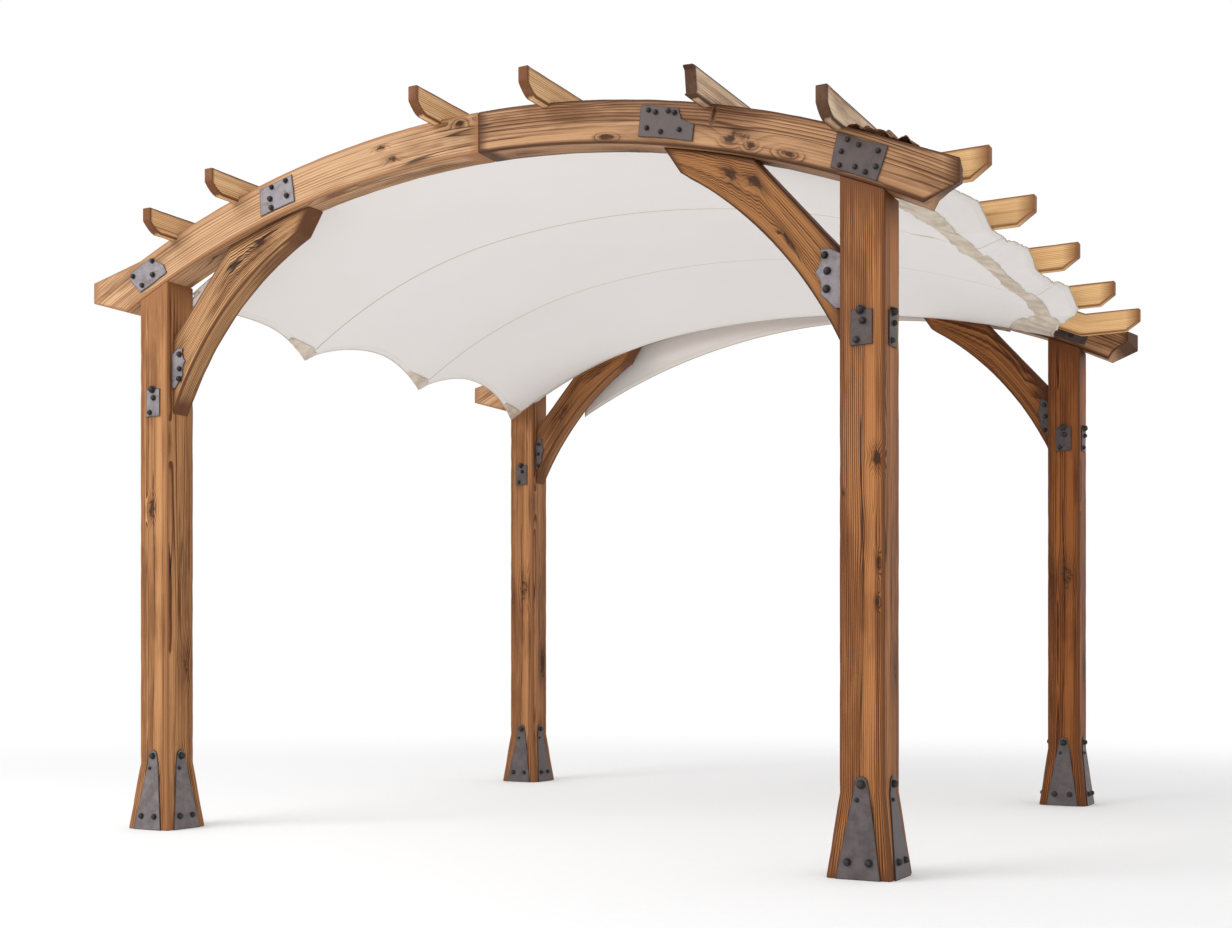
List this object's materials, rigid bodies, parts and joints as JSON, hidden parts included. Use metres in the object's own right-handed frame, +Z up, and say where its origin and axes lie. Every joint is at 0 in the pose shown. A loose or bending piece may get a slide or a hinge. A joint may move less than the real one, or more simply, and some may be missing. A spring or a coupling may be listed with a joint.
{
  "type": "wooden garden gazebo",
  "caption": "Open timber gazebo on square posts with flared feet, curved arches and braces, purlins over a vaulted roof and a fabric canopy hung beneath",
  "frame": {"origin": "centre of the plan on the ground", "axes": "+X along the arches towards the eave with the rib tails, +Y from the front arch to the rear arch, +Z up"},
  "size_m": [3.754, 3.3, 2.7584],
  "materials": {
    "post_wood": "oiled, strong lengthwise grain",
    "brace_wood": "oiled, strong lengthwise grain",
    "arch_wood": "oiled, weathered grain",
    "roof_wood": "oiled pale timber, darker edges",
    "steel": "worn dark grey",
    "canopy_cloth": "matt off-white canvas",
    "trim_cloth": "matt beige canvas"
  },
  "bodies": {
    "root": {"front_left_post": "post_wood", "front_left_foot_plates": "steel", "front_left_brace": "brace_wood", "front_arch_left": "arch_wood", "front_right_post": "post_wood", "front_right_foot_plates": "steel", "front_right_brace": "brace_wood", "front_arch_right": "arch_wood", "front_arch_plates": "steel", "front_splice_plate": "steel", "front_brace_brackets": "steel", "front_post_plates": "steel", "rear_left_post": "post_wood", "rear_left_foot_plates": "steel", "rear_left_brace": "brace_wood", "rear_arch_left": "arch_wood", "rear_right_post": "post_wood", "rear_right_foot_plates": "steel", "rear_right_brace": "brace_wood", "rear_arch_right": "arch_wood", "rear_arch_plates": "steel", "rear_splice_plate": "steel", "rear_brace_brackets": "steel", "rear_post_plates": "steel", "purlin_1": "roof_wood", "purlin_2": "roof_wood", "purlin_3": "roof_wood", "purlin_4": "roof_wood", "purlin_5": "roof_wood", "purlin_6": "roof_wood", "rib_1": "roof_wood", "rib_2": "roof_wood", "rib_3": "roof_wood", "rib_4": "roof_wood", "rib_5": "roof_wood", "canopy": "canopy_cloth", "canopy_pocket": "trim_cloth", "rear_valance": "canopy_cloth"}
  },
  "joints": []
}
